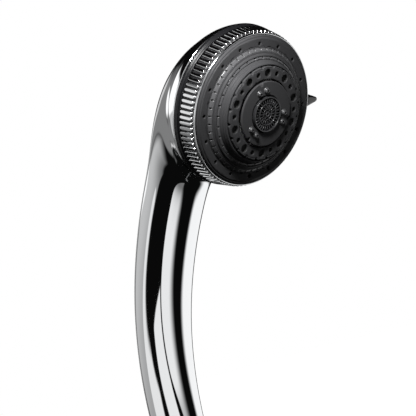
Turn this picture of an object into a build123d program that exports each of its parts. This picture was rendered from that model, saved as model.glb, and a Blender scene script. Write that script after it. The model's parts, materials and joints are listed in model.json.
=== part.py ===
from build123d import *
from math import cos, radians, sin
import os

# Handheld shower head in millimetres. The origin is the centre of the threaded inlet's end face,
# +Z runs up the inlet into the handle, and the YZ plane is the plane of symmetry. The handle bows
# backwards and its top rolls forward into the round head, whose spray face looks towards -Y and down.

# Inlet, a G1/2 male thread at the bottom of the handle
THREAD_R = 10.48
THREAD_LENGTH = 11.0
INLET_BORE_R = 7.0
NIPPLE_TOP = 31.0
SHELL_BOTTOM = 12.6
COLLAR_TOP = SHELL_BOTTOM - 0.05

# Centreline of the handle: a straight run, then two tangent arcs that turn the same way
STRAIGHT = 30.0
LOWER_ARC_R = 175.0
LOWER_TURN = 28.0
UPPER_ARC_R = 240.0
UPPER_TURN = 14.7
HEAD_TURN = 118.0
HANDLE_END_R = 13.9
HANDLE_NECK_R = 17.1
WALL = 2.2

# Neck: round sections that fan out about a pivot line under the head, from the handle to the rim.
# Each is (angle before the rim plane, distance of its centre from the pivot, radius).
NECK_ENTRY = HEAD_TURN - LOWER_TURN - UPPER_TURN
FAN = [
    (NECK_ENTRY, 39.1, HANDLE_NECK_R), (54.0, 39.5, 22.0), (36.0, 42.3, 27.7), (20.0, 46.4, 34.2),
    (8.0, 50.5, 39.6), (0.0, 52.0, 41.8)]
FAN_STEPS = 16
LOWER_STEPS = 7
UPPER_STEPS = 3

# Head. Heights are along the head axis from the flat outer annulus of the spray face, + outwards.
RIM_HEIGHT = -14.1
BEZEL_R = 41.0
RING_R = 41.2
RING_FRONT_R = 40.1
RING_BACK = -10.5
RIB_COUNT = 92
LEVER_SHIFT = 0.5
PLATE_R = 37.95
OUTER_HOLES = (34.0, 16)
OUTER_NEEDLES = (31.0, 48)
INNER_NEEDLES = (27.4, 32)
JET_R = 20.6
JET_COUNT = 10
JET_TOP = 7.4
DISC_R = 16.7
DISC_TOP = 8.6
DOME_R = 12.1
DOME_SPREAD = 11.2
NOTCH_ANGLES = (-12.5, 107.5, 227.5)
GRILLE_R = 9.0
GRILLE_TOP = 9.9

# Selector: seven clicks, each with its own port and detent pocket
CLICK = 30.0
CLICKS = range(-3, 4)
SEAL_R = 14.3
DETENT_R = 27.0
CORE_FRONT = -10.7
CORE_BACK = -19.1
CORE_SCREW_R = 34.9
CORE_RING_R = 31.2
PLATE_BACK = -10.3
MODE_FRONT = -3.6

# Water tube
TUBE_R = 6.0
TUBE_BORE_R = 4.6
TUBE_START = 24.0
TUBE_END_HEIGHT = -21.0
TUBE_UPPER_TURN = 18.0
TUBE_BEND_HEIGHT = -28.0


def heading(turn):
    """Direction of the centreline once it has turned by this many degrees from +Z."""
    return Vector(0, -sin(radians(turn)), cos(radians(turn)))


def inward(turn):
    """Direction from the centreline to its centre of curvature."""
    return Vector(0, -cos(radians(turn)), -sin(radians(turn)))


LOWER_START = Vector(0, 0, STRAIGHT)
UPPER_START = LOWER_START + (inward(0) - inward(LOWER_TURN)) * LOWER_ARC_R
NECK_TURN = LOWER_TURN + UPPER_TURN
NECK = UPPER_START + (inward(LOWER_TURN) - inward(NECK_TURN)) * UPPER_ARC_R
PIVOT = NECK + inward(NECK_TURN) * FAN[0][1]
RIM_CENTRE = PIVOT - inward(HEAD_TURN) * FAN[-1][1]
AXIS = heading(HEAD_TURN)
HEAD_CENTRE = RIM_CENTRE - AXIS * RIM_HEIGHT
HEAD = Plane(origin=HEAD_CENTRE, x_dir=(1, 0, 0), z_dir=AXIS)


def on_head(shape):
    """Place a shape that was modelled about Z, with Z = 0 at the face's outer annulus."""
    return HEAD.location * shape


def ring(outer, inner, low, high):
    """Flat washer about Z."""
    return Pos(0, 0, (low + high) / 2) * (Cylinder(outer, high - low) - Cylinder(inner, high - low))


def disc(radius, low, high):
    return Pos(0, 0, (low + high) / 2) * Cylinder(radius, high - low)


def polar(radius, count, shape, start=0):
    """Copies of a shape evenly spaced round Z."""
    return [place * shape for place in PolarLocations(radius, count, start)]


def at(radius, angle, shape):
    """One shape at a polar place, turned with it."""
    return Rot(0, 0, angle) * Pos(radius, 0, 0) * shape


def lathe(points):
    """Turn a closed outline of (radius, height) points about Z."""
    outline = make_face(Plane.XZ * Polyline(*points, close=True))
    return revolve(outline, Axis.Z)


def torus(major, minor, height):
    return Pos(0, 0, height) * Torus(major, minor)


def coil(radius, wire, low, high, turns):
    """Compression spring about Z."""
    rise = high - low - 2 * wire
    path = Helix(pitch=rise / turns, height=rise, radius=radius)
    section = Plane(origin=path @ 0, z_dir=path % 0) * Circle(wire)
    return Pos(0, 0, low + wire) * sweep(section, path=path)


def circle_edge(centre, turn, radius):
    """Circle square to the centreline where it has turned by this many degrees."""
    return (Plane(origin=centre, x_dir=(1, 0, 0), z_dir=heading(turn)) * Circle(radius)).edges()[0]


def handle_sections(inset):
    """Circles from the foot of the handle to the rim."""
    stations = [(Vector(0, 0, SHELL_BOTTOM), 0, SHELL_BOTTOM), (LOWER_START, 0, STRAIGHT)]
    for step in range(1, LOWER_STEPS + 1):
        turn = LOWER_TURN * step / LOWER_STEPS
        centre = LOWER_START + (inward(0) - inward(turn)) * LOWER_ARC_R
        stations.append((centre, turn, STRAIGHT + radians(turn) * LOWER_ARC_R))
    lower_end = stations[-1][2]
    for step in range(1, UPPER_STEPS + 1):
        turn = LOWER_TURN + UPPER_TURN * step / UPPER_STEPS
        centre = UPPER_START + (inward(LOWER_TURN) - inward(turn)) * UPPER_ARC_R
        stations.append((centre, turn, lower_end + radians(turn - LOWER_TURN) * UPPER_ARC_R))
    length = stations[-1][2]
    edges = []
    for centre, turn, run in stations:
        radius = HANDLE_END_R + (HANDLE_NECK_R - HANDLE_END_R) * run / length
        edges.append(circle_edge(centre, turn, radius - inset))
    law = Spline(*FAN)
    for step in range(1, FAN_STEPS + 1):
        before, reach, radius = law @ (step / FAN_STEPS)
        turn = HEAD_TURN - before
        edges.append(circle_edge(PIVOT - inward(turn) * reach, turn, radius - inset))
    return edges


def handle_shell():
    """Plated handle and head back in one hollow moulding, closed by a flat ring at each end."""
    outer = handle_sections(0)
    inner = handle_sections(WALL)
    faces = []
    for edges in (outer, inner):
        faces += [Face.make_surface_from_curves(low, high) for low, high in zip(edges, edges[1:])]
    for end in (0, -1):
        faces.append(Face(Wire(outer[end]), [Wire(inner[end])]))
    return Solid(Shell(faces))


def foot_sleeve():
    """Sleeve bonded inside the foot of the handle, which the inlet is glued into."""
    return ring(11.6, 10.35, SHELL_BOTTOM + 0.05, NIPPLE_TOP - 1)


def mount_ring():
    """Ring bonded inside the head back, which the core is screwed to."""
    pilots = polar(CORE_SCREW_R, 3, disc(0.85, -22, -19), 30)
    return on_head(ring(36.6, 32.8, -21.6, CORE_BACK - 0.1) - pilots)


def inlet_nipple():
    """Threaded brass end of the inlet with its collar. The thread is a plain major cylinder."""
    return lathe([
        (INLET_BORE_R, 0), (THREAD_R, 0), (THREAD_R, THREAD_LENGTH), (13.2, THREAD_LENGTH),
        (13.2, 12.1), (12.8, COLLAR_TOP), (INLET_BORE_R, COLLAR_TOP)])


def inlet_stem():
    """Brass stem, brazed to the threaded end and glued into the handle. It has both O-ring grooves."""
    return lathe([
        (INLET_BORE_R, COLLAR_TOP), (10.3, COLLAR_TOP), (10.3, 18.0), (9.0, 18.0),
        (9.0, 20.2), (10.3, 20.2), (10.3, NIPPLE_TOP), (TUBE_R + 0.15, NIPPLE_TOP), (TUBE_R + 0.15, 29.0),
        (7.6, 29.0), (7.6, 26.8), (TUBE_R + 0.15, 26.8), (TUBE_R + 0.15, TUBE_START - 0.1),
        (4.6, TUBE_START - 0.1), (4.6, 22.5), (INLET_BORE_R, 22.5)])


def inlet_screen():
    """Dirt filter: a rim with a grid of square holes."""
    mesh = [place * Box(1.0, 1.0, 3) for place in GridLocations(1.6, 1.6, 5, 5)]
    return Pos(0, 0, 6.6) * (Cylinder(INLET_BORE_R - 0.05, 1.2) - mesh)


def flow_restrictor():
    """Disc that limits the flow through a ring of small holes."""
    return disc(INLET_BORE_R - 0.05, 7.3, 9.3) - polar(3.2, 6, disc(0.8, 7, 10))


def check_valve_cage():
    """Non-return valve body with its seat below and a guide spider above."""
    cage = lathe([
        (3.4, 9.4), (6.95, 9.4), (6.95, 22.3), (0.9, 22.3), (0.9, 20.8), (5.7, 20.8),
        (5.7, 11.2), (4.2, 11.2)])
    ports = polar(3.6, 4, disc(1.3, 20, 23), 45)
    return cage - ports


def check_poppet():
    """Valve disc and stem that lift when water flows."""
    return lathe([
        (0, 10.4), (3.0, 10.4), (4.6, 11.6), (5.2, 11.6), (5.2, 12.8), (1.6, 12.8),
        (0.75, 13.8), (0.75, 21.4), (0, 21.4)])


def check_spring():
    return coil(2.6, 0.28, 12.9, 20.7, 4)


def tube_path():
    """Centreline of the water tube: up the handle, then forward into the head core."""
    bend_turn = LOWER_TURN + TUBE_UPPER_TURN
    forward = HEAD_TURN - bend_turn
    with BuildLine(Plane.YZ) as path:
        rise = Line((0, TUBE_START), (0, STRAIGHT))
        lower = JernArc(rise @ 1, rise % 1, LOWER_ARC_R, LOWER_TURN)
        upper = JernArc(lower @ 1, lower % 1, UPPER_ARC_R, TUBE_UPPER_TURN)
        bend = JernArc(upper @ 1, upper % 1, bend_radius(bend_turn), forward)
        end = bend @ 1
        run = (HEAD_CENTRE + AXIS * TUBE_END_HEIGHT - end).dot(AXIS)
        Line(end, end + AXIS * run)
    return path.line


def bend_radius(bend_turn):
    """Radius that brings the tube's last bend to the height where its straight end starts."""
    start = UPPER_START + (inward(LOWER_TURN) - inward(bend_turn)) * UPPER_ARC_R
    depth = (HEAD_CENTRE + AXIS * TUBE_BEND_HEIGHT - start).dot(AXIS)
    return depth / (inward(bend_turn) - inward(HEAD_TURN)).dot(AXIS)


TUBE_PATH = tube_path()
PORT_Y = HEAD.to_local_coords(TUBE_PATH @ 1).Y


def water_tube():
    section = Plane(origin=TUBE_PATH @ 0, z_dir=TUBE_PATH % 0) * (Circle(TUBE_R) - Circle(TUBE_BORE_R))
    return sweep(section, path=TUBE_PATH)


def head_core():
    """Fixed distributor: takes the tube behind, and holds the seal cup, detent and pivot in front."""
    body = disc(36.4, CORE_BACK, CORE_FRONT) + Pos(0, PORT_Y, 0) * disc(9.4, TUBE_BEND_HEIGHT, CORE_BACK)
    body -= Pos(0, PORT_Y, 0) * disc(TUBE_R + 0.15, TUBE_BEND_HEIGHT, TUBE_END_HEIGHT + 0.1)
    body -= Pos(0, PORT_Y, 0) * ring(7.6, TUBE_R, -27.0, -24.8)
    body -= Pos(0, PORT_Y, 0) * disc(TUBE_BORE_R - 0.6, -22, -16.7)
    body -= Pos(0, -SEAL_R, 0) * disc(5.0, -16.7, CORE_FRONT)
    body -= Pos(0, DETENT_R, 0) * disc(1.6, -17.2, CORE_FRONT)
    body -= disc(1.7, -17.6, CORE_FRONT)
    body -= ring(CORE_RING_R + 1.2, CORE_RING_R - 1.2, -12.7, CORE_FRONT)
    body -= polar(CORE_SCREW_R, 3, disc(1.05, CORE_BACK, CORE_FRONT), 30)
    body -= polar(CORE_SCREW_R, 3, disc(2.2, -14.0, CORE_FRONT), 30)
    body -= polar(22.0, 8, disc(4.6, CORE_BACK, -14.6), 22.5)
    return on_head(body)


def core_screws():
    """Three screws that hold the core to the ledge inside the shell."""
    screw = disc(0.8, -21.5, -14.0) + disc(1.75, -14.0, -12.9)
    screw -= Pos(0, 0, -13.1) * Box(2.2, 0.5, 0.8)
    return on_head(Compound(children=polar(CORE_SCREW_R, 3, screw, 30)))


def core_oring():
    return on_head(torus(CORE_RING_R, 0.95, -11.7))


def seal_cup():
    """Rubber cup that the spring holds against the turning plate."""
    cup = lathe([
        (2.4, -14.0), (4.85, -14.0), (4.85, -11.0), (4.5, -10.4), (2.4, -10.4)])
    return on_head(Pos(0, -SEAL_R, 0) * cup)


def seal_spring():
    return on_head(Pos(0, -SEAL_R, 0) * coil(3.9, 0.3, -16.6, -14.1, 2))


def detent_pin():
    """Round-nosed pin that drops into the pockets of the mode plate."""
    pin = disc(1.5, -14.2, -11.9) + Pos(0, 0, -11.9) * Sphere(1.5)
    return on_head(Pos(0, DETENT_R, 0) * pin)


def detent_spring():
    return on_head(Pos(0, DETENT_R, 0) * coil(1.05, 0.2, -17.1, -14.25, 4))


def pivot_screw():
    """Shouldered screw that the whole face turns on."""
    screw = disc(1.65, -17.0, CORE_FRONT) + disc(3.0, CORE_FRONT, -6.2) + disc(5.2, -6.2, -4.3)
    slots = [Box(6.0, 1.1, 2.0), Box(1.1, 6.0, 2.0)]
    screw -= [Pos(0, 0, -4.6) * slot for slot in slots]
    return on_head(screw)


def pivot_washer():
    return on_head(ring(6.6, 3.08, -6.9, -6.25))


def bezel_ring():
    """Black trim between the shell and the ribbed ring, with a raised bead."""
    return on_head(lathe([
        (37.0, -15.2), (38.8, -15.2), (38.8, -14.0), (BEZEL_R, -14.0), (BEZEL_R, -13.1),
        (BEZEL_R + 0.6, -12.7), (BEZEL_R + 0.6, -12.2), (BEZEL_R, -11.9), (BEZEL_R - 0.4, -10.9),
        (37.0, -10.9)]))


def ribbed_ring():
    """Selector ring with round-ended ribs and a polished bevel in front of them."""
    body = lathe([
        (36.6, RING_BACK), (RING_R - 0.9, RING_BACK), (RING_R, RING_BACK + 0.7), (RING_FRONT_R, -3.1),
        (39.45, -2.7), (38.25, -1.0), (38.05, -1.0), (38.05, MODE_FRONT), (36.6, MODE_FRONT)])
    groove = Pos(RING_R + 0.05, 0, -6.5) * Rot(0, -8.5, 0) * Box(2.3, 1.45, 6.6)
    body -= polar(0, RIB_COUNT, groove, 180 / RIB_COUNT)
    seat = Pos(42.0, LEVER_SHIFT, -6.0) * Box(6.0, 7.4, 7.6)
    return on_head(body - seat)


def selector_lever():
    """Small pointed tab on the side of the ribbed ring."""
    sections = []
    for reach, height, width, depth, corner in ((39.05, -6.0, 7.2, 7.4, 1.4), (44.0, -5.8, 5.0, 5.6, 1.2),
                                                (49.3, -5.2, 1.6, 2.6, 0.6)):
        plane = Plane(origin=(reach, LEVER_SHIFT, height), x_dir=(0, 1, 0), z_dir=(1, 0, 0))
        sections.append(plane * RectangleRounded(width, depth, corner))
    return on_head(loft(sections))


def spray_plate():
    """Stepped front plate with a flat outer annulus, two risers and all the outer outlets."""
    body = lathe([
        (22.6, -3.5), (26.2, -3.5), (26.2, -2.0), (PLATE_R, -2.0), (PLATE_R, -0.9), (PLATE_R - 0.25, -0.25),
        (PLATE_R - 0.85, 0), (32.4, 0), (31.9, 0.35), (31.9, -1.0), (30.3, -1.0), (30.3, 1.8), (29.5, 2.0),
        (28.9, 2.0), (28.6, 2.5), (27.9, 2.9), (27.9, 1.2), (26.9, 1.2), (26.9, 3.2), (26.1, 3.5),
        (25.6, 6.2), (25.2, 6.7), (24.5, 7.0), (23.9, 7.0), (23.9, 5.1), (22.6, 5.1)])
    radius, count = OUTER_HOLES
    holes = polar(radius, count, disc(0.8, -2.5, 1) + Pos(0, 0, -0.1) * Cone(0.8, 1.1, 0.6))
    for radius, count in (OUTER_NEEDLES, INNER_NEEDLES):
        holes += polar(radius, count, disc(0.35, -2.5, 4))
    holes += polar(24.4, 4, disc(1.12, -4, 3.1), 45)
    return on_head(body - holes)


def needle_ring_outer():
    """Bright ring of fine jets on the first riser, cut into segments between the jets."""
    radius, count = OUTER_NEEDLES
    body = lathe([(30.35, -0.95), (31.85, -0.95), (31.85, 0.4), (30.35, 1.85)])
    body -= polar(radius, count, disc(0.35, -2, 3))
    notch = Pos(radius, 0, 1.1) * Rot(0, 44, 0) * Box(2.6, 0.45, 0.5)
    return on_head(body - polar(0, count, notch))


def needle_ring_inner():
    """Ring of fine jets on the second riser."""
    radius, count = INNER_NEEDLES
    body = lathe([(26.95, 1.25), (27.85, 1.25), (27.85, 2.95), (26.95, 3.25)])
    return on_head(body - polar(radius, count, disc(0.33, 0, 4)))


def nozzle_mat():
    """Soft rubber mat between the mode plate and the spray plate."""
    body = ring(PLATE_R - 0.1, 26.3, -3.5, -2.05)
    for (radius, count), size in ((OUTER_HOLES, 0.7), (OUTER_NEEDLES, 0.3), (INNER_NEEDLES, 0.3)):
        body -= polar(radius, count, disc(size, -4, -1))
    return on_head(body)


def jet_ring():
    """Insert with ten large and ten small outlets and a scalloped edge."""
    body = ring(23.75, 15.1, 5.15, JET_TOP)
    body -= polar(JET_R, JET_COUNT, disc(1.9, 5, 8) + Pos(0, 0, JET_TOP - 0.29) * Cone(1.9, 2.3, 0.6), 18)
    body -= polar(JET_R, JET_COUNT, disc(1.1, 5, 8) + Pos(0, 0, JET_TOP - 0.29) * Cone(1.1, 1.45, 0.6), 0)
    body -= polar(23.9, 2 * JET_COUNT, disc(0.75, 6.2, 8), 9)
    return on_head(body)


def centre_disc():
    """Raised disc with three rim notches, six nozzle holes and a recess for the grille."""
    body = lathe([
        (7.4, 5.2), (15.0, 5.2), (15.0, DISC_TOP - 0.9), (DISC_R, DISC_TOP - 0.9), (DISC_R, DISC_TOP - 0.3),
        (DISC_R - 0.3, DISC_TOP), (9.6, DISC_TOP), (9.6, 6.2), (7.4, 6.2)])
    body -= [at(DISC_R - 0.4, angle, disc(0.9, DISC_TOP - 0.7, 10)) for angle in NOTCH_ANGLES]
    for angle in NOTCH_ANGLES:
        body -= [at(DOME_R, angle + side * DOME_SPREAD, disc(1.2, 5, 10)) for side in (-1, 1)]
    return on_head(body)


def dome_nozzles():
    """Six round-tipped rubber outlets in three pairs."""
    nozzle = disc(1.15, 5.3, DISC_TOP + 0.3) + Pos(0, 0, DISC_TOP + 0.3) * Sphere(1.15) - disc(0.4, 5, 11)
    pairs = [at(DOME_R, angle + side * DOME_SPREAD, nozzle) for angle in NOTCH_ANGLES for side in (-1, 1)]
    return on_head(Compound(children=pairs))


def aerator_grille():
    """Round centre grille with two rings of radial slots about a small hub."""
    body = lathe([
        (0, 6.25), (GRILLE_R, 6.25), (GRILLE_R, GRILLE_TOP - 0.5), (GRILLE_R - 0.5, GRILLE_TOP),
        (0, GRILLE_TOP)])
    body -= polar(0, 28, Pos(7.0, 0, 8) * Box(2.1, 0.7, 5))
    body -= polar(0, 16, Pos(4.1, 0, 8) * Box(1.9, 0.7, 5))
    return on_head(body - ring(2.5, 1.7, GRILLE_TOP - 0.6, 10.5) - disc(0.9, 6, 10.5))


def mode_plate():
    """Turning plate: ports and detent pockets behind, water channels in front."""
    body = disc(36.5, PLATE_BACK, MODE_FRONT)
    body -= [ring(35.4, 29.9, -7.6, MODE_FRONT), ring(28.8, 26.6, -7.6, MODE_FRONT)]
    body -= ring(22.3, 8.4, -6.6, MODE_FRONT)
    body -= [disc(7.1, -7.0, MODE_FRONT), disc(3.05, PLATE_BACK, MODE_FRONT)]
    for click in CLICKS:
        body -= at(SEAL_R, click * CLICK - 90, disc(2.0, PLATE_BACK, -6.0))
        body -= at(DETENT_R, click * CLICK + 90, Pos(0, 0, -11.75) * Sphere(2.2))
    body -= polar(24.4, 4, disc(1.2, -11, MODE_FRONT) + disc(2.2, -11, -8.2), 45)
    return on_head(body)


def face_screws():
    """Four screws that clamp the mode plate, mat and spray plate together."""
    screw = disc(1.05, -8.3, 3.0) + disc(2.1, -9.9, -8.3) - Pos(0, 0, -9.7) * Box(2.6, 0.6, 0.9)
    return on_head(Compound(children=polar(24.4, 4, screw, 45)))


def swirl_plate():
    """Fixed jet plate with slanted slots and the axle of the pulse rotor."""
    body = disc(22.2, -3.5, -2.0) + disc(3.0, -2.0, 4.9)
    slot = Pos(15.0, 0, -2.75) * Rot(35, 0, 0) * Box(7.0, 1.4, 4.0)
    return on_head(body - polar(0, 8, slot))


def pulse_rotor():
    """Bladed shutter that the water spins to pulse the large jets."""
    body = disc(21.8, 3.4, 4.4) + disc(5.0, -0.8, 4.4)
    blade = Pos(12.2, 0, 1.4) * Rot(18, 0, 0) * Box(15.0, 0.9, 4.1)
    body += polar(0, 12, blade)
    body -= disc(3.06, -2, 6)
    window = lathe([(18.2, 3), (23, 3), (23, 5), (18.2, 5)]) & Pos(15, 0, 4) * Box(30, 60, 4)
    return on_head(body - window)


def nipple_oring():
    return torus(9.7, 0.62, 19.1)


def tube_oring_lower():
    return torus(6.83, 0.72, 27.9)


def tube_oring_upper():
    return on_head(Pos(0, PORT_Y, 0) * torus(6.83, 0.72, -25.9))


PARTS = [
    handle_shell, foot_sleeve, mount_ring, inlet_nipple, inlet_stem, nipple_oring, inlet_screen,
    flow_restrictor, check_valve_cage, check_poppet, check_spring, water_tube, tube_oring_lower,
    tube_oring_upper, head_core, core_screws, core_oring, seal_cup, seal_spring, detent_pin,
    detent_spring, pivot_screw, pivot_washer, bezel_ring, ribbed_ring, selector_lever, spray_plate,
    needle_ring_outer, needle_ring_inner, nozzle_mat, jet_ring, centre_disc, dome_nozzles, aerator_grille,
    mode_plate, face_screws, swirl_plate, pulse_rotor]

os.makedirs("parts", exist_ok=True)
for make in PARTS:
    export_step(make(), f"parts/{make.__name__}.step")
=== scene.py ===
import bmesh
import bpy
import json
from math import atan2, cos, hypot, pi, radians, sin
from mathutils import Matrix, Vector


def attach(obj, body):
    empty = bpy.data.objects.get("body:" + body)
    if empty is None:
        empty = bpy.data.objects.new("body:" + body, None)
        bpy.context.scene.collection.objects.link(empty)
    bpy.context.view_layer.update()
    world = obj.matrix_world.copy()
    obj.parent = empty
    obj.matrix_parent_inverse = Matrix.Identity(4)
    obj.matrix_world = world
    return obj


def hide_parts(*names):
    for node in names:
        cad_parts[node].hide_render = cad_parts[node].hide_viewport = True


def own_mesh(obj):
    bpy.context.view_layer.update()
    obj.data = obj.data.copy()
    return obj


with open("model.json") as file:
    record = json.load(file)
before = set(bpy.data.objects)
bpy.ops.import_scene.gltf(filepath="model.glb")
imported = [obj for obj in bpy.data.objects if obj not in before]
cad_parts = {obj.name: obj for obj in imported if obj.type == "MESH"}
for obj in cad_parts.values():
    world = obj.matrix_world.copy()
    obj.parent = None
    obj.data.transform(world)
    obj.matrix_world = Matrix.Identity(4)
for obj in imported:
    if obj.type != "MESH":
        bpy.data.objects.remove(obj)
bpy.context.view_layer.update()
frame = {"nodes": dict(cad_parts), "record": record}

# Lengths below are in millimetres; MM turns them into metres where points are made.
MM = 0.001
JOINTS = {joint["name"]: joint for joint in frame["record"]["behaviour"]["joints"]}
HEAD_CENTRE = Vector(JOINTS["selector_turn"]["pos_m"])
AXIS = Vector(JOINTS["selector_turn"]["axis"]).normalized()
SIDE = Vector((1, 0, 0))
HEAD_UP = AXIS.cross(SIDE)

# Handle centreline and neck, the same driving sizes as the CAD shell
SHELL_BOTTOM = 12.6
STRAIGHT = 30.0
LOWER_ARC_R = 175.0
LOWER_TURN = 28.0
UPPER_ARC_R = 240.0
UPPER_TURN = 14.7
HEAD_TURN = 118.0
HANDLE_END_R = 13.9
HANDLE_NECK_R = 17.1
WALL = 2.2
NECK_ENTRY = HEAD_TURN - LOWER_TURN - UPPER_TURN
FAN = [
    (NECK_ENTRY, 39.1, HANDLE_NECK_R), (54.0, 39.5, 22.0), (36.0, 42.3, 27.7), (20.0, 46.4, 34.2),
    (8.0, 50.5, 39.6), (0.0, 52.0, 41.8)]

# Bezel and ring. Heights are along the head axis, out of the face.
BEZEL_R = 41.0
RIB_COUNT = 92
RING_BACK = -10.5
RING_R = 41.15
RING_FRONT_R = 40.05
RIB_BACK = -10.2
RIB_FRONT = -2.95
RIB_HALF_WIDTH = 0.95
RIB_HEIGHT = 1.15
RIB_EDGE = 0.22

# Spray face. Each list of holes gives the radii in turn, starting on the lever side.
PLATE_HOLES = [0.85] * 16
PLATE_CIRCLE_R = 34.0
JET_HOLES = [1.15, 1.95] * 10
JET_CIRCLE_R = 20.6
JET_TOP = 7.35
SCALLOPS = 20
DISC_TOP = 8.6
NOTCH_ANGLES = (-12.5, 107.5, 227.5)
DOME_CIRCLE_R = 12.1
DOME_SPREAD = 11.2
DOME_R = 1.42
DOME_BORE_R = 0.6
GRILLE_FLOOR = 7.3

# Inlet
THREAD_R = 10.45
THREAD_PITCH = 1.814
THREAD_LENGTH = 11.0


# ---------------------------------------------------------------- mesh helpers

def polar(radius, angle, height):
    """Point about the head axis: angle from the lever towards the top of the head, height out of the face."""
    offset = SIDE * (radius * cos(angle)) + HEAD_UP * (radius * sin(angle)) + AXIS * height
    return HEAD_CENTRE + offset * MM


def upright(radius, angle, height):
    """Point about the inlet axis."""
    return Vector((radius * cos(angle), radius * sin(angle), height)) * MM


def smoothstep(low, high, value):
    t = min(1.0, max(0.0, (value - low) / (high - low)))
    return t * t * (3 - 2 * t)


def rounded(corners, steps=4):
    """Closed outline of (radius, height, fillet) corners, with each fillet as a short curve."""
    outline = []
    count = len(corners)
    for index, (x, y, fillet) in enumerate(corners):
        if not fillet:
            outline.append((x, y))
            continue
        here = Vector((x, y))
        before = Vector(corners[index - 1][:2]) - here
        after = Vector(corners[(index + 1) % count][:2]) - here
        start = here + before.normalized() * min(fillet, before.length * 0.45)
        end = here + after.normalized() * min(fillet, after.length * 0.45)
        for step in range(steps + 1):
            t = step / steps
            point = start * (1 - t) ** 2 + here * (2 * t * (1 - t)) + end * t ** 2
            outline.append((point.x, point.y))
    return outline


def new_object(name, vertices, faces):
    mesh = bpy.data.meshes.new(name)
    mesh.from_pydata([tuple(v) for v in vertices], [], faces)
    mesh.validate()
    mesh.shade_smooth()
    piece = bpy.data.objects.new(name, mesh)
    bpy.context.collection.objects.link(piece)
    return piece


def skin(name, rows, loop=True, capped=False):
    """Quads between closed rows of points. loop joins the last row to the first, capped closes both ends."""
    count = len(rows[0])
    vertices = [point for row in rows for point in row]
    faces = []
    for low in range(len(rows) if loop else len(rows) - 1):
        high = (low + 1) % len(rows)
        for k in range(count):
            after = (k + 1) % count
            faces.append((low * count + k, low * count + after, high * count + after, high * count + k))
    if capped:
        faces.append(tuple(range(count)))
        faces.append(tuple(range((len(rows) - 1) * count, len(rows) * count)))
    return new_object(name, vertices, faces)


def turned(name, outline, count=256, place=polar, shape=None):
    """Outline turned about an axis. shape may move each (angle, radius, height)."""
    rows = []
    for radius, height in outline:
        row = []
        for step in range(count):
            angle = 2 * pi * step / count
            r, h = shape(angle, radius, height) if shape else (radius, height)
            row.append(place(r, angle, h))
        rows.append(row)
    return skin(name, rows)


def join(name, pieces):
    """One mesh object from several, with touching vertices merged."""
    merged = bmesh.new()
    for piece in pieces:
        merged.from_mesh(piece.data)
        bpy.data.objects.remove(piece)
    bmesh.ops.remove_doubles(merged, verts=merged.verts, dist=0.000002)
    bmesh.ops.recalc_face_normals(merged, faces=merged.faces)
    mesh = bpy.data.meshes.new(name)
    merged.to_mesh(mesh)
    merged.free()
    mesh.shade_smooth()
    piece = bpy.data.objects.new(name, mesh)
    bpy.context.collection.objects.link(piece)
    return piece


def finish_piece(piece, body, material, replaced=(), flat=True):
    """Fix normals, give the material and tie the piece to its body. flat keeps flat faces evenly shaded."""
    work = bmesh.new()
    work.from_mesh(piece.data)
    bmesh.ops.recalc_face_normals(work, faces=work.faces)
    work.to_mesh(piece.data)
    work.free()
    piece.data.shade_smooth()
    if flat:
        weighted = piece.modifiers.new("even_flats", "WEIGHTED_NORMAL")
        weighted.weight = 80
    piece.data.materials.clear()
    piece.data.materials.append(material)
    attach(piece, body)
    if replaced:
        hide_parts(*replaced)


def paint_shade(piece, test, colour):
    """Painted shade: a dark second material on the faces whose centre, as (radius, angle, height) on the head,
    passes the test.
    """
    piece.data.materials.append(colour)
    for polygon in piece.data.polygons:
        offset = (polygon.center - HEAD_CENTRE) / MM
        x, y, height = offset.dot(SIDE), offset.dot(HEAD_UP), offset.dot(AXIS)
        if test(hypot(x, y), atan2(y, x) % (2 * pi), height):
            polygon.material_index = 1


def in_holes(circle_r, holes, top):
    """Test for the walls and floors of a ring of holes, which get painted shade."""
    sector = 2 * pi / len(holes)

    def test(radius, angle, height):
        index = round(angle / sector)
        turn = angle - index * sector
        away = hypot(radius * cos(turn) - circle_r, radius * sin(turn))
        return away < holes[index % len(holes)] + 0.02 and height < top - 0.3
    return test


def sector_border(inner, outer, half):
    """Points (radius, angle) round one sector of a flat ring."""
    arc_steps, side_steps = 10, 5
    border = [(inner, -half + 2 * half * k / arc_steps) for k in range(arc_steps)]
    border += [(inner + (outer - inner) * k / side_steps, half) for k in range(side_steps)]
    border += [(outer, half - 2 * half * k / arc_steps) for k in range(arc_steps)]
    border += [(outer + (inner - outer) * k / side_steps, -half) for k in range(side_steps)]
    return border, arc_steps


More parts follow.
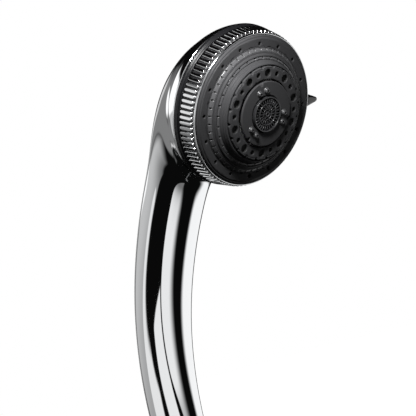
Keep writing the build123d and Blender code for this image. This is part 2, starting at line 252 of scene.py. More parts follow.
def holed_ring(name, inner, outer, top, bottom, circle_r, holes, depth, rim):
    """Flat ring with round blind holes, one radius for each equal sector. rim is their soft lip."""
    half = pi / len(holes)
    border, arc_steps = sector_border(inner, outer, half)
    rays = [Vector((r * cos(a) - circle_r, r * sin(a))) for r, a in border]
    count = len(border)
    blend_steps = 3
    mouth = ((rim * 0.8, 0.03), (rim * 0.45, 0.1), (rim * 0.15, 0.25), (0.0, 0.55), (-0.02, depth * 0.5),
             (-0.05, depth))
    vertices, faces = [], []
    for index, radius in enumerate(holes):
        rings = []
        for step in range(blend_steps + 1):
            lip = radius + rim * 1.15
            rings.append(([ray.lerp(ray.normalized() * lip, step / blend_steps) for ray in rays], 0.0))
        for extra, drop in mouth:
            rings.append(([ray.normalized() * (radius + extra) for ray in rays], drop))
        first = len(vertices)
        for offsets, drop in rings:
            for offset in offsets:
                x, y = circle_r + offset.x, offset.y
                vertices.append(polar(hypot(x, y), 2 * half * index + atan2(y, x), top - drop))
        for low in range(len(rings) - 1):
            start, above = first + low * count, first + (low + 1) * count
            for k in range(count):
                after = (k + 1) % count
                faces.append((start + k, start + after, above + after, above + k))
        faces.append(tuple(first + (len(rings) - 1) * count + k for k in range(count)))
    face = new_object(name + "_top", vertices, faces)
    around = len(holes) * arc_steps
    rows = []
    for radius, height in ((outer, top), (outer, bottom), (inner, bottom), (inner, top)):
        rows.append([polar(radius, 2 * pi * k / around - half, height) for k in range(around)])
    back = skin(name + "_back", rows, loop=False)
    return join(name, [face, back])


# ---------------------------------------------------------------- materials

GLOSS_SPREAD = 0.3


def material(name, colour, roughness, metallic=0.0, grain=0.0, grain_size=0.4, tint=0.0, shine=0.5):
    """Principled material with fine grain, uneven gloss and a slight change of tone, in object space."""
    made = bpy.data.materials.new(name)
    made.use_nodes = True
    nodes, links = made.node_tree.nodes, made.node_tree.links
    shader = nodes["Principled BSDF"]
    shader.inputs["Metallic"].default_value = metallic
    shader.inputs["Specular IOR Level"].default_value = shine
    where = nodes.new("ShaderNodeTexCoord")
    cloud = nodes.new("ShaderNodeTexNoise")
    cloud.inputs["Scale"].default_value = 60
    cloud.inputs["Detail"].default_value = 6
    links.new(where.outputs["Object"], cloud.inputs["Vector"])
    gloss = nodes.new("ShaderNodeMapRange")
    gloss.inputs["From Min"].default_value = 0.3
    gloss.inputs["From Max"].default_value = 0.7
    gloss.inputs["To Min"].default_value = roughness * (1 - GLOSS_SPREAD)
    gloss.inputs["To Max"].default_value = roughness * (1 + GLOSS_SPREAD)
    links.new(cloud.outputs["Fac"], gloss.inputs["Value"])
    links.new(gloss.outputs["Result"], shader.inputs["Roughness"])
    tone = nodes.new("ShaderNodeMixRGB")
    tone.inputs["Color1"].default_value = (*[c * (1 - tint) for c in colour], 1)
    tone.inputs["Color2"].default_value = (*[min(1, c * (1 + tint)) for c in colour], 1)
    links.new(cloud.outputs["Fac"], tone.inputs["Fac"])
    links.new(tone.outputs["Color"], shader.inputs["Base Color"])
    if grain:
        speck = nodes.new("ShaderNodeTexNoise")
        speck.inputs["Scale"].default_value = 1000 / grain_size
        speck.inputs["Detail"].default_value = 3
        links.new(where.outputs["Object"], speck.inputs["Vector"])
        bump = nodes.new("ShaderNodeBump")
        bump.inputs["Strength"].default_value = grain
        bump.inputs["Distance"].default_value = 0.0001
        links.new(speck.outputs["Fac"], bump.inputs["Height"])
        links.new(bump.outputs["Normal"], shader.inputs["Normal"])
    return made


SLOTS = {
    "chrome_shell": material("chrome_shell", (0.86, 0.87, 0.88), 0.035, metallic=1, tint=0.01),
    "chrome_ring": material("chrome_ring", (0.82, 0.83, 0.84), 0.08, metallic=1, tint=0.02),
    "bezel_black": material("bezel_black", (0.008, 0.008, 0.009), 0.3, grain=0.05, tint=0.1, shine=0.3),
    "lever_dark": material("lever_dark", (0.012, 0.012, 0.013), 0.2, grain=0.08, tint=0.1),
    "face_dark": material("face_dark", (0.05, 0.05, 0.052), 0.34, grain=0.16, grain_size=0.35, tint=0.08,
                          shine=0.04),
    "needle_ring": material("needle_ring", (0.08, 0.08, 0.083), 0.27, grain=0.1, tint=0.08, shine=0.2),
    "nozzle_rubber": material("nozzle_rubber", (0.05, 0.05, 0.052), 0.3, grain=0.1, tint=0.08),
    "grille_dark": material("grille_dark", (0.028, 0.028, 0.03), 0.25, grain=0.1, tint=0.1),
    "inlet_brass": material("inlet_brass", (0.84, 0.85, 0.86), 0.09, metallic=1, tint=0.02),
    "inner_plastic": material("inner_plastic", (0.72, 0.72, 0.69), 0.4, grain=0.15, tint=0.04),
    "seal_rubber": material("seal_rubber", (0.018, 0.018, 0.018), 0.55, grain=0.25, tint=0.1),
    "steel": material("steel", (0.6, 0.6, 0.6), 0.22, metallic=1, grain=0.1, tint=0.04),
    "acetal": material("acetal", (0.84, 0.84, 0.82), 0.32, grain=0.1, tint=0.03),
}
# Painted shade: a near-black material for the grooves and recesses of the ribbed ring.
GROOVE_PAINTED_SHADE = material("groove_painted_shade", (0.02, 0.02, 0.021), 0.3, grain=0.1, tint=0.1)
# Painted shade: near-black for the walls and floors of holes, pits and bores, and for the floor under the grille.
HOLE_PAINTED_SHADE = material("hole_painted_shade", (0.006, 0.006, 0.006), 0.6, grain=0.2, tint=0.1)


# ---------------------------------------------------------------- chrome shell

def heading(turn):
    """Direction in which the handle runs when it has turned by this many degrees."""
    return Vector((0, -sin(radians(turn)), cos(radians(turn))))


def inward(turn):
    """Direction towards the inside of the bend, square to heading."""
    return Vector((0, -cos(radians(turn)), -sin(radians(turn))))


LOWER_START = Vector((0, 0, STRAIGHT))
UPPER_START = LOWER_START + (inward(0) - inward(LOWER_TURN)) * LOWER_ARC_R
NECK_TURN = LOWER_TURN + UPPER_TURN
NECK = UPPER_START + (inward(LOWER_TURN) - inward(NECK_TURN)) * UPPER_ARC_R
PIVOT = NECK + inward(NECK_TURN) * FAN[0][1]
LOWER_END_RUN = STRAIGHT + radians(LOWER_TURN) * LOWER_ARC_R
NECK_RUN = LOWER_END_RUN + radians(UPPER_TURN) * UPPER_ARC_R


def natural_spline(knots, values):
    """Smooth curve through the values, with no bending at its ends."""
    n = len(knots)
    h = [knots[i + 1] - knots[i] for i in range(n - 1)]
    bend = [0.0] * n
    lower, right = [0.0] * n, [0.0] * n
    for i in range(1, n - 1):
        slope = 6 * ((values[i + 1] - values[i]) / h[i] - (values[i] - values[i - 1]) / h[i - 1])
        pivot = 2 * (h[i - 1] + h[i]) - h[i - 1] * lower[i - 1]
        lower[i] = h[i] / pivot
        right[i] = (slope - h[i - 1] * right[i - 1]) / pivot
    for i in range(n - 2, 0, -1):
        bend[i] = right[i] - lower[i] * bend[i + 1]

    def curve(x):
        i = max(0, min(n - 2, sum(1 for k in knots if k <= x) - 1))
        a, b = (knots[i + 1] - x) / h[i], (x - knots[i]) / h[i]
        return (a * values[i] + b * values[i + 1]
                + ((a ** 3 - a) * bend[i] + (b ** 3 - b) * bend[i + 1]) * h[i] ** 2 / 6)
    return curve


FAN_KNOTS = [NECK_ENTRY - angle for angle, reach, radius in FAN]
FAN_REACH = natural_spline(FAN_KNOTS, [reach for angle, reach, radius in FAN])
FAN_RADIUS = natural_spline(FAN_KNOTS, [radius for angle, reach, radius in FAN])


def shell_stations():
    """(centre, turn, radius) from the foot of the handle to the rim, evenly and closely spaced."""
    stations = []
    for step in range(20):
        run = SHELL_BOTTOM + (STRAIGHT - SHELL_BOTTOM) * step / 20
        stations.append((Vector((0, 0, run)), 0.0, run))
    for step in range(100):
        turn = LOWER_TURN * step / 100
        centre = LOWER_START + (inward(0) - inward(turn)) * LOWER_ARC_R
        stations.append((centre, turn, STRAIGHT + radians(turn) * LOWER_ARC_R))
    for step in range(72):
        turn = LOWER_TURN + UPPER_TURN * step / 72
        centre = UPPER_START + (inward(LOWER_TURN) - inward(turn)) * UPPER_ARC_R
        stations.append((centre, turn, LOWER_END_RUN + radians(turn - LOWER_TURN) * UPPER_ARC_R))
    made = []
    for centre, turn, run in stations:
        made.append((centre, turn, HANDLE_END_R + (HANDLE_NECK_R - HANDLE_END_R) * run / NECK_RUN))
    for step in range(73):
        swing = NECK_ENTRY * step / 72
        turn = NECK_TURN + swing
        made.append((PIVOT - inward(turn) * FAN_REACH(swing), turn, FAN_RADIUS(swing)))
    return made


def eased(stations, reach):
    """Running mean of the stations, so that the bends flow into each other without a break in the shine."""
    last = len(stations) - 1
    made = []
    for index in range(last + 1):
        span = min(reach, index, last - index)
        near = stations[index - span:index + span + 1]
        centre = sum((station[0] for station in near), Vector((0, 0, 0))) / len(near)
        made.append((centre, *(sum(station[k] for station in near) / len(near) for k in (1, 2))))
    return made


def handle_shell():
    """Plated shell: outer skin, rounded rim, inner skin and rounded foot as one closed surface."""
    stations = eased(eased(shell_stations(), 13), 9)
    count = 160

    def circle(station, inset, forward=0.0):
        centre, turn, radius = station
        middle = centre + heading(turn) * forward
        across = inward(turn)
        row = []
        for k in range(count):
            angle = 2 * pi * k / count
            offset = SIDE * cos(angle) + across * sin(angle)
            row.append((middle + offset * (radius - inset)) * MM)
        return row

    skin_inset = 0.04
    foot, rim = stations[0], stations[-1]
    rows = [circle(foot, 0.9), circle(foot, 0.45, 0.08), circle(foot, 0.16, 0.3)]
    rows += [circle(station, skin_inset) for station in stations[:-1]]
    rows += [circle(rim, 0.1, -0.25), circle(rim, 0.3, -0.06), circle(rim, 0.6), circle(rim, WALL)]
    rows += [circle(station, WALL) for station in reversed(stations[:-1:6])]
    piece = skin("chrome_handle", rows)
    finish_piece(piece, "housing", SLOTS["chrome_shell"], ["handle_shell"], flat=False)


# ---------------------------------------------------------------- ring and bezel

def bezel():
    outline = rounded([
        (37.05, -15.1, 0), (38.7, -15.1, 0), (38.7, -14.0, 0), (BEZEL_R + 0.45, -14.0, 0.12),
        (BEZEL_R + 0.35, -13.3, 0.1), (BEZEL_R + 0.58, -13.0, 0.15), (BEZEL_R + 0.58, -12.5, 0.15),
        (BEZEL_R + 0.1, -12.1, 0.15), (BEZEL_R - 0.5, -10.95, 0.3), (37.05, -10.95, 0.1)])
    piece = turned("black_bezel", outline, 320)
    finish_piece(piece, "housing", SLOTS["bezel_black"], ["bezel_ring"])


def ribbed_ring():
    """Ring with raised round-ended ribs, then a groove and a narrow polished bevel up to the face."""
    first, last = RIB_BACK + 0.9, RIB_FRONT - 0.9
    pitch = 2 * pi / RIB_COUNT

    def crest(height):
        return RING_R + (RING_FRONT_R - RING_R) * (height - RIB_BACK) / (RIB_FRONT - RIB_BACK)

    def sunk(angle, radius, height):
        """0 on top of a rib, 1 in the groove beside it."""
        across = ((angle / pitch) % 1.0 - 0.5) * pitch * radius
        along = max(0.0, abs(height - (first + last) / 2) - (last - first) / 2)
        return smoothstep(-RIB_EDGE, RIB_EDGE * 0.6, hypot(across, along) - RIB_HALF_WIDTH)

    def shape(angle, radius, height):
        if not RIB_BACK - 0.2 < height < RIB_FRONT + 0.2:
            return radius, height
        return radius - RIB_HEIGHT * sunk(angle, radius, height), height

    rows = [(36.75, RING_BACK), (RING_R - 1.6, RING_BACK), (RING_R - 1.2, RING_BACK + 0.08)]
    steps = 48
    for step in range(steps + 1):
        height = RIB_BACK - 0.1 + (RIB_FRONT - RIB_BACK + 0.2) * step / steps
        rows.append((crest(height), height))
    rows += [(RING_FRONT_R - 1.15, RIB_FRONT + 0.2), (RING_FRONT_R - 1.15, RIB_FRONT + 0.4)]
    for step in range(11):
        lift = radians(-8 + 98 * step / 10)
        rows.append((38.85 + 0.5 * cos(lift), -1.75 + 0.6 * sin(lift)))
    rows += [(38.5, -1.15), (38.4, -1.5), (38.4, -2.2), (38.05, -2.3), (38.05, -3.45), (36.75, -3.45)]
    piece = turned("ribbed_selector_ring", rows, RIB_COUNT * 22, shape=shape)
    finish_piece(piece, "selector", SLOTS["chrome_ring"], ["ribbed_ring"], flat=False)

    # Painted shade: the groove floors between ribs, the back of the ring and the ledge before the bevel get the
    # dark second material.
    def in_groove(radius, angle, height):
        if height < RIB_BACK:
            return True
        if height > RIB_FRONT + 0.45:
            return radius > RING_FRONT_R - 1.3 and height < RIB_FRONT + 0.6
        return sunk(angle, radius, height) > 0.6
    paint_shade(piece, in_groove, GROOVE_PAINTED_SHADE)


def lever():
    """Pointed tab: soft-cornered sections (reach, height, half width, half depth) that shrink to the tip."""
    sections = (
        (39.1, -6.0, 3.5, 3.6), (40.8, -6.0, 3.45, 3.55), (42.4, -5.95, 3.1, 3.3), (44.0, -5.8, 2.6, 2.9),
        (45.7, -5.6, 2.05, 2.4), (47.2, -5.4, 1.6, 1.95), (48.4, -5.25, 1.15, 1.5), (49.0, -5.2, 0.75, 1.0),
        (49.25, -5.2, 0.3, 0.45))
    count = 32
    shift = 0.5

    def softened(value):
        return abs(value) ** 0.6 * (1 if value >= 0 else -1)

    rows = []
    for reach, height, half_width, half_depth in sections:
        row = []
        for k in range(count):
            angle = 2 * pi * k / count
            across = shift + half_width * softened(cos(angle))
            out = height + half_depth * softened(sin(angle))
            row.append(HEAD_CENTRE + (SIDE * reach + HEAD_UP * across + AXIS * out) * MM)
        rows.append(row)
    piece = skin("pointed_lever", rows, loop=False, capped=True)
    finish_piece(piece, "selector", SLOTS["lever_dark"], ["selector_lever"])


# ---------------------------------------------------------------- spray face

def face_plate():
    """Outer annulus with its sixteen outlets and the plain parts of both risers."""
    annulus = holed_ring("outer_annulus", 32.5, 36.9, 0.0, -1.9, PLATE_CIRCLE_R, PLATE_HOLES, 3.0, 0.32)
    rim = turned("rim", rounded([
        (36.9, -1.9, 0), (38.3, -1.9, 0), (38.3, -0.6, 0.3), (37.7, 0.0, 0.3), (36.9, 0.0, 0)]), 160)
    plate = join("face_plate", [annulus, rim])
    finish_piece(plate, "selector", SLOTS["face_dark"], ["spray_plate"])
    # Painted shade in the walls and floors of the sixteen outlets.
    paint_shade(plate, in_holes(PLATE_CIRCLE_R, PLATE_HOLES, 0.0), HOLE_PAINTED_SHADE)
    steps = turned("face_steps", rounded([
        (32.5, -1.9, 0), (32.5, 0.0, 0), (32.0, 0.0, 0.12), (31.9, -0.35, 0.05), (30.25, -0.35, 0),
        (30.25, 1.55, 0), (29.9, 1.75, 0.2), (29.3, 1.8, 0.25), (28.95, 2.75, 0.6), (28.1, 2.95, 0.3),
        (28.0, 2.3, 0.05), (27.85, 2.3, 0), (26.85, 2.3, 0), (26.8, 2.9, 0.1), (26.45, 3.1, 0.15),
        (26.2, 3.9, 0.3), (25.95, 4.2, 0.15), (25.75, 5.2, 0.3), (25.45, 5.5, 0.15), (25.3, 6.3, 0.35),
        (24.75, 6.62, 0.3), (24.35, 6.5, 0.15), (24.2, 5.6, 0), (22.7, 5.2, 0), (22.7, -1.9, 0)]), 384)
    finish_piece(steps, "selector", SLOTS["face_dark"])


def needle_band(name, count, outline, hole_r, hole_height, node):
    """Sloped band cut into pads by the fine jets, each jet a small sunk pit with painted shade in it."""
    pitch = 2 * pi / count
    gap = 0.5

    def shape(angle, radius, height):
        across = abs(((angle / pitch + 0.5) % 1.0 - 0.5) * pitch * radius)
        pit = 1 - smoothstep(gap * 0.5, gap, hypot(across, (radius - hole_r) * 0.8))
        slot = 1 - smoothstep(gap * 0.35, gap * 0.8, across)
        return radius, height - (0.75 * pit + 0.12 * slot) * (1 if height > hole_height else 0)

    piece = turned(name, outline, count * 24, shape=shape)
    finish_piece(piece, "selector", SLOTS["needle_ring"], [node], flat=False)

    # Painted shade: the faces round each jet pit get the near-black material.
    def in_pit(radius, angle, height):
        across = abs(((angle / pitch + 0.5) % 1.0 - 0.5) * pitch * radius)
        return hypot(across, (radius - hole_r) * 0.8) < gap * 0.75
    paint_shade(piece, in_pit, HOLE_PAINTED_SHADE)


def needle_rings():
    """Curved outer band and straight inner band, each up one riser of the face."""
    outer = [(31.85, -0.3), (31.85, 0.25)]
    outer += [(31.8 - 1.5 * k / 12, 0.33 + 1.3 * (k / 12) ** 0.8) for k in range(13)]
    outer += [(30.3, 1.3), (30.3, -0.3)]
    needle_band("needle_ring_one", 48, outer, 31.2, 0.3, "needle_ring_outer")
    inner = [(27.85, 2.35), (27.85, 2.75)]
    inner += [(27.8 - 0.92 * k / 9, 2.85 + 0.35 * k / 9) for k in range(10)]
    inner += [(26.88, 2.8), (26.88, 2.35)]
    needle_band("needle_ring_two", 32, inner, 27.4, 2.8, "needle_ring_inner")


def jet_ring():
    """Insert with alternate large and small outlets and a rounded, scalloped edge."""
    top = holed_ring("jets", 17.3, 23.0, JET_TOP, 5.6, JET_CIRCLE_R, JET_HOLES, 2.9, 0.28)
    pitch = 2 * pi / SCALLOPS

    def scallop(angle, radius, height):
        across = abs(((angle / pitch) % 1.0 - 0.5) * pitch * radius)
        bite = smoothstep(0.85, 0.35, across) * smoothstep(22.9, 23.9, radius)
        return radius - 0.75 * bite, height - 0.15 * bite

    outline = rounded([
        (23.0, 5.6, 0), (23.95, 5.6, 0), (23.95, JET_TOP - 0.25, 0.28), (23.5, JET_TOP + 0.12, 0.28),
        (23.15, JET_TOP, 0.1), (23.0, JET_TOP, 0)])
    edge = turned("edge", outline, SCALLOPS * 20, shape=scallop)
    insert = join("jet_ring_top", [top, edge])
    finish_piece(insert, "selector", SLOTS["face_dark"], ["jet_ring"])
    # Painted shade in the walls and floors of the large and small outlets.
    paint_shade(insert, in_holes(JET_CIRCLE_R, JET_HOLES, JET_TOP), HOLE_PAINTED_SHADE)


def centre_disc():
    """Raised disc with three rim notches round the sunk seat of the grille."""
    def notch(angle, radius, height):
        bite = 0.0
        for centre in NOTCH_ANGLES:
            turn = (angle - radians(centre) + pi) % (2 * pi) - pi
            bite = max(bite, smoothstep(1.25, 0.6, abs(turn) * 16.0))
        bite *= smoothstep(14.8, 16.4, radius) * smoothstep(DISC_TOP - 1.1, DISC_TOP - 0.4, height)
        return radius - 1.1 * bite, height - 0.35 * bite * smoothstep(DISC_TOP - 0.4, DISC_TOP - 0.1, height)

    outline = rounded([
        (7.5, 5.4, 0), (15.0, 5.4, 0), (15.0, DISC_TOP - 1.1, 0), (16.65, DISC_TOP - 1.1, 0.1),
        (16.65, DISC_TOP - 0.25, 0.25), (16.35, DISC_TOP, 0.2), (15.6, DISC_TOP, 0), (14.8, DISC_TOP, 0),
        (9.75, DISC_TOP, 0.25), (9.55, DISC_TOP - 0.4, 0.1), (9.5, 6.9, 0), (7.5, 6.9, 0)])
    disc = turned("centre_disc_top", outline, 480, shape=notch)
    finish_piece(disc, "selector", SLOTS["face_dark"], ["centre_disc"])


def local_turned(name, centre_x, centre_y, outline, count):
    """Outline turned about a line beside the head axis and parallel to it."""
    def place(radius, angle, height):
        x, y = centre_x + radius * cos(angle), centre_y + radius * sin(angle)
        return polar(hypot(x, y), atan2(y, x), height)
    return turned(name, outline, count, place=place)


def dome_places():
    """Centre (x, y) of each domed outlet: a pair at each notch of the disc."""
    places = []
    for centre in NOTCH_ANGLES:
        for side in (-1, 1):
            angle = radians(centre + side * DOME_SPREAD)
            places.append((DOME_CIRCLE_R * cos(angle), DOME_CIRCLE_R * sin(angle)))
    return places


def dome_nozzles():
    """Three pairs of round-tipped outlets, each with a small bore."""
    foot = DISC_TOP + 0.35
    profile = [(0.58, 6.9), (1.75, 6.9), (1.75, DISC_TOP + 0.02), (1.55, DISC_TOP + 0.14), (1.44, foot)]
    for step in range(9):
        lift = radians(10 + 54 * step / 8)
        profile.append((DOME_R * cos(lift), foot + 1.25 * sin(lift)))
    profile += [(DOME_BORE_R, 9.98), (0.58, 9.8), (0.58, 7.6)]
    domes = [local_turned("dome", x, y, profile, 32) for x, y in dome_places()]
    tips = join("dome_nozzle_tips", domes)
    finish_piece(tips, "selector", SLOTS["nozzle_rubber"], ["dome_nozzles"], flat=False)

    # Painted shade: the bore faces of each dome get the near-black material.
    def in_bore(radius, angle, height):
        x, y = radius * cos(angle), radius * sin(angle)
        near = any(hypot(x - dome_x, y - dome_y) < DOME_BORE_R for dome_x, dome_y in dome_places())
        return near and height < 10.0
    paint_shade(tips, in_bore, HOLE_PAINTED_SHADE)


def bar(inner, outer, angle, half_width, high):
    """Radial bar with a rounded top."""
    section = [(-half_width, GRILLE_FLOOR), (half_width, GRILLE_FLOOR), (half_width, high - 0.15),
               (half_width * 0.6, high), (-half_width * 0.6, high), (-half_width, high - 0.15)]
    rows = []
    for reach in (inner, outer):
        row = []
        for across, height in section:
            x, y = reach * cos(angle) - across * sin(angle), reach * sin(angle) + across * cos(angle)
            row.append(polar(hypot(x, y), atan2(y, x), height))
        rows.append(row)
    return skin("bar", rows, loop=False, capped=True)


def grille():
    """Round grille: a rim, two rings, a hub and radial bars between them, over a floor disc painted dark as shade.
    """
    parts = []
    for inner, outer, high in ((8.35, 9.0, 9.85), (5.25, 5.7, 9.65), (2.5, 2.9, 9.6), (0.75, 1.35, 9.6)):
        parts.append(turned("ring", rounded([
            (inner, GRILLE_FLOOR, 0), (outer, GRILLE_FLOOR, 0), (outer, high, 0.2), (inner, high, 0.2)]), 96))
    for count, inner, outer, half_width, high in (
            (30, 5.6, 8.45, 0.27, 9.5), (18, 2.8, 5.35, 0.25, 9.45), (6, 1.25, 2.6, 0.2, 9.4)):
        for index in range(count):
            parts.append(bar(inner, outer, 2 * pi * index / count, half_width, high))
    work = join("centre_grille", parts)
    finish_piece(work, "selector", SLOTS["grille_dark"], ["aerator_grille"])
    # Painted shade: a near-black disc under the bars stands in for the dark opening behind the grille.
    outline = [(0.05, 7.0), (8.95, 7.0), (8.95, GRILLE_FLOOR), (0.05, GRILLE_FLOOR)]
    floor_disc = turned("grille_floor", outline, 96)
    finish_piece(floor_disc, "selector", HOLE_PAINTED_SHADE)


# ---------------------------------------------------------------- inlet

def threaded_inlet():
    """Chromed inlet with a real helical thread, a collar and the plain bore."""
    depth = 1.1
    count = 120

    def thread(angle, radius, height):
        if radius < 9.0 or not 0.3 < height < THREAD_LENGTH - 0.3:
            return radius, height
        turn = (height / THREAD_PITCH - angle / (2 * pi)) % 1.0
        wave = abs(turn * 2 - 1)
        fade = smoothstep(0.3, 1.5, height) * smoothstep(THREAD_LENGTH - 0.3, THREAD_LENGTH - 1.6, height)
        return radius - depth * fade * smoothstep(0.15, 0.85, wave), height

    outline = [(7.4, 0.0), (9.5, 0.0), (9.75, 0.1)]
    steps = 90
    for step in range(steps + 1):
        height = 0.25 + (THREAD_LENGTH - 0.45) * step / steps
        chamfer = 0.45 * smoothstep(1.0, 0.2, height)
        outline.append((THREAD_R - chamfer, height))
    outline += rounded([
        (THREAD_R - 0.2, THREAD_LENGTH, 0), (13.1, THREAD_LENGTH + 0.02, 0.25), (13.1, 12.5, 0.25),
        (10.25, 12.5, 0), (10.25, 30.9, 0), (7.02, 30.9, 0), (7.02, 0.4, 0)], 3)
    piece = turned("threaded_inlet", outline, count, place=upright, shape=thread)
    finish_piece(piece, "housing", SLOTS["inlet_brass"], ["inlet_nipple", "inlet_stem"],
                 flat=False)


# ---------------------------------------------------------------- CAD pieces that stay

def dress_cad():
    """Give every CAD node that still shows the material of its slot."""
    for part in frame["record"]["subparts"]:
        node = frame["nodes"][part["node"]]
        for slot in node.material_slots:
            slot.material = SLOTS[part["material_slot"]]
        if not node.material_slots:
            node.data.materials.append(SLOTS[part["material_slot"]])


def shorten_spring(name, axis, fixed_end):
    """Give the spring its own copy of its mesh. Its heights along the axis are read, but it is not shortened or
    moved.
    """
    spring = frame["nodes"][name]
    heights = [(spring.matrix_world @ corner.co).dot(axis) for corner in spring.data.vertices]
    axis * fixed_end(heights)
    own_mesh(spring)


# ---------------------------------------------------------------- studio

CAMERA_PLACE = Vector((-0.5755, -0.7212, 0.0599))
CAMERA_TARGET = Vector((-0.02377, -0.09576, 0.13364))
CAMERA_ROLL = 14.56
CAMERA_LENS = 144.4
PANEL_WHITE = (0.8, 0.8, 0.8)


def camera():
    """Camera at the set place, and the directions to its right, up and behind it."""
    data = bpy.data.cameras.new("camera")
    data.lens = CAMERA_LENS
    data.sensor_width = 36
    data.clip_start, data.clip_end = 0.01, 100
    made = bpy.data.objects.new("camera", data)
    bpy.context.collection.objects.link(made)
    look = (CAMERA_TARGET - CAMERA_PLACE).normalized()
    level = look.cross(Vector((0, 0, 1))).normalized()
    rise = level.cross(look)
    tip = radians(CAMERA_ROLL)
    up = rise * cos(tip) + level * sin(tip)
    right = look.cross(up)
    made.matrix_world = Matrix((
        (right.x, up.x, -look.x, CAMERA_PLACE.x), (right.y, up.y, -look.y, CAMERA_PLACE.y),
        (right.z, up.z, -look.z, CAMERA_PLACE.z), (0, 0, 0, 1)))
    bpy.context.scene.camera = made
    return right, up, -look


class Sums:
    """Small helper that writes arithmetic as shader nodes."""

    def __init__(self, tree):
        self.tree = tree

    def feed(self, socket, value):
        if isinstance(value, (int, float)):
            socket.default_value = value
        else:
            self.tree.links.new(value, socket)

    def math(self, operation, a, b=0.0):
        node = self.tree.nodes.new("ShaderNodeMath")
        node.operation = operation
        self.feed(node.inputs[0], a)
        self.feed(node.inputs[1], b)
        return node.outputs[0]

    def dot(self, vector, direction):
        node = self.tree.nodes.new("ShaderNodeVectorMath")
        node.operation = "DOT_PRODUCT"
        self.tree.links.new(vector, node.inputs[0])
        node.inputs[1].default_value = direction
        return node.outputs["Value"]

    def step(self, value, low, high, start=0.0, end=1.0):
        """Smooth change from start to end while value goes from low to high."""
        node = self.tree.nodes.new("ShaderNodeMapRange")
        node.interpolation_type = "SMOOTHSTEP"
        for name, number in (("From Min", low), ("From Max", high), ("To Min", start), ("To Max", end)):
            node.inputs[name].default_value = number
        self.feed(node.inputs["Value"], value)
        return node.outputs["Result"]

    def scaled(self, value, factor):
        return self.math("MULTIPLY", value, factor)

    def band(self, value, low, high, soft):
        """1 between low and high, 0 outside, with soft edges."""
        return self.math("MULTIPLY", self.step(value, low - soft, low + soft),
                         self.step(value, high - soft, high + soft, 1, 0))


def room_panels(sums, turn, rise):
    """Soft white panels of a dark room, by direction: turn 0 is behind the camera, + to the right."""
    def panel(level, *sides):
        light = level
        for side in sides:
            light = sums.scaled(side, light)
        return light

    low = sums.math("ADD", rise, 18.0)
    high = sums.math("MAXIMUM", sums.math("ADD", rise, 10.0), 0.0)
    lean = sums.math("SUBTRACT", turn, sums.scaled(low, 0.95))
    slant = sums.math("SUBTRACT", turn, sums.scaled(low, 0.4))

    # Window on the left, with a slanting foot
    foot = sums.math("ADD", rise, sums.scaled(turn, 0.4))
    jamb = sums.math("ADD", lean, sums.scaled(high, 0.2))
    window = panel(1.15, sums.step(lean, -36, -33), sums.step(jamb, -0.5, 1.5, 1, 0),
                   sums.step(foot, -40.2, -38.8), sums.step(rise, 20, 26, 1, 0))

    # Large panel behind the camera, slanted, fading to the right and downwards
    jamb = sums.math("SUBTRACT", lean, sums.scaled(high, 0.35))
    large = panel(1.15, sums.step(jamb, 4.5, 7), sums.step(slant, 29, 54, 1, 0),
                  sums.step(rise, -76, -44, 0.2, 1), sums.step(rise, -6, 6, 1, 0.6), sums.step(rise, 12, 16, 1, 0))

    # Wall on the right, with a bowed edge
    bow = sums.scaled(sums.math("MULTIPLY", low, low), 0.02)
    wall = panel(1.3, sums.step(sums.math("SUBTRACT", turn, bow), 78, 96), sums.step(turn, 152, 162, 1, 0),
                 sums.step(rise, -50, -34), sums.step(rise, 11, 17, 1, 0))

    # Strip on the left, with a foot that rises towards the window
    foot = sums.math("ADD", rise, sums.scaled(sums.math("MAXIMUM", sums.math("ADD", turn, 62.0), 0.0), -0.25))
    strip = panel(1.1, sums.band(turn, -93, -46, 3), sums.step(foot, -20.5, -18.5),
                  sums.step(rise, 12, 26, 1, 0))

    # Grey wall on the far left, darker lower down, between two slanted edges
    sill = sums.math("SUBTRACT", turn, rise)
    below = sums.math("MINIMUM", sums.math("ADD", rise, 9.0), 0.0)
    edge = sums.math("ADD", turn, sums.scaled(below, 0.73))
    grey = panel(1.0, sums.step(rise, -36, -3, 0.2, 0.72), sums.step(rise, -38, -31),
                 sums.step(edge, -152, -141), sums.step(sill, -64, -58, 1, 0), sums.step(rise, -1, 5, 1, 0))

    # White panel above the grey wall, then a dim strip and a bright strip beyond it
    white = panel(1.5, sums.band(turn, -149, -100, 1.5), sums.band(rise, 0, 21, 2))
    dim_strip = panel(0.28, sums.band(turn, -160, -149, 2), sums.band(rise, -18, 15, 5))
    bright_strip = panel(0.8, sums.band(turn, -167, -160, 1.5), sums.band(rise, -9, 11, 2))
    overhead = panel(0.9, sums.band(turn, -60, 10, 8), sums.band(rise, 24, 66, 4))
    return window, large, wall, strip, grey, white, dim_strip, bright_strip, overhead


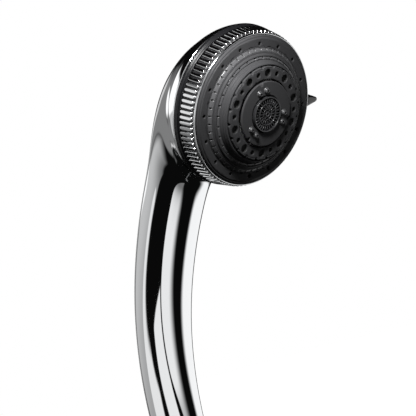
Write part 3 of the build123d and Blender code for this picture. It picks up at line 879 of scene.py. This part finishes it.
def studio(right, up, back):
    """World of soft panels for reflections, dim for diffuse light and plain white behind the object."""
    dark, dim, white = 0.004, 0.035, 1.0
    world = bpy.data.worlds.new("studio")
    bpy.context.scene.world = world
    world.use_nodes = True
    tree = world.node_tree
    tree.nodes.clear()
    sums = Sums(tree)
    where = tree.nodes.new("ShaderNodeTexCoord").outputs["Generated"]
    x, y, z = (sums.dot(where, axis) for axis in (right, up, back))
    turn = sums.scaled(sums.math("ARCTAN2", x, z), 180 / pi)
    rise = sums.scaled(sums.math("ARCSINE", y), 180 / pi)
    light = dark
    for panel in room_panels(sums, turn, rise):
        light = sums.math("MAXIMUM", panel, light)
    path = tree.nodes.new("ShaderNodeLightPath")

    def background(strength, colour):
        node = tree.nodes.new("ShaderNodeBackground")
        node.inputs["Color"].default_value = (*colour, 1)
        sums.feed(node.inputs["Strength"], strength)
        return node.outputs[0]

    def choose(ray, otherwise, chosen):
        mix = tree.nodes.new("ShaderNodeMixShader")
        tree.links.new(path.outputs[ray], mix.inputs["Fac"])
        tree.links.new(otherwise, mix.inputs[1])
        tree.links.new(chosen, mix.inputs[2])
        return mix.outputs[0]

    room = choose("Is Diffuse Ray", background(light, PANEL_WHITE), background(dim, PANEL_WHITE))
    seen = choose("Is Camera Ray", room, background(white, (1, 1, 1)))
    output = tree.nodes.new("ShaderNodeOutputWorld")
    tree.links.new(seen, output.inputs["Surface"])


def soft_light(name, place, target, size, power, spread):
    """Round area light at a place, turned to a target."""
    data = bpy.data.lights.new(name, "AREA")
    data.shape = "DISK"
    data.size = size
    data.energy = power
    data.spread = radians(spread)
    lamp = bpy.data.objects.new(name, data)
    bpy.context.collection.objects.link(lamp)
    lamp.location = place
    lamp.rotation_mode = "QUATERNION"
    lamp.rotation_quaternion = (target - place).to_track_quat("-Z", "Y")


def floor():
    """Pale floor well under the inlet. It is left out of the chrome, which reflects the tent instead."""
    mesh = bpy.data.meshes.new("floor")
    reach, level = 6.0, -0.03
    corners = [(-reach, -reach, level), (reach, -reach, level), (reach, reach, level), (-reach, reach, level)]
    mesh.from_pydata(corners, [], [(0, 1, 2, 3)])
    made = bpy.data.objects.new("floor", mesh)
    bpy.context.collection.objects.link(made)
    white = bpy.data.materials.new("floor_white")
    white.use_nodes = True
    shader = white.node_tree.nodes["Principled BSDF"]
    shader.inputs["Base Color"].default_value = (0.05, 0.05, 0.05, 1)
    shader.inputs["Roughness"].default_value = 0.9
    shader.inputs["Emission Color"].default_value = (1, 1, 1, 1)
    shader.inputs["Emission Strength"].default_value = 1.0
    made.data.materials.append(white)
    made.visible_glossy = False
    made.visible_diffuse = False


right, up, back = camera()
studio(right, up, back)
across_face = (right * -0.36 + up * 0.72 + back * 0.6).normalized()
head_key = HEAD_CENTRE + (across_face + AXIS * 0.32) * 0.15
soft_light("key", head_key, HEAD_CENTRE + across_face * 0.035, 0.04, 0.065, 60)
floor()
bpy.context.scene.view_settings.view_transform = "Standard"

handle_shell()
bezel()
ribbed_ring()
lever()
face_plate()
needle_rings()
jet_ring()
centre_disc()
dome_nozzles()
grille()
threaded_inlet()
dress_cad()
shorten_spring("check_spring", Vector((0, 0, 1)), max)
shorten_spring("seal_spring", AXIS, min)
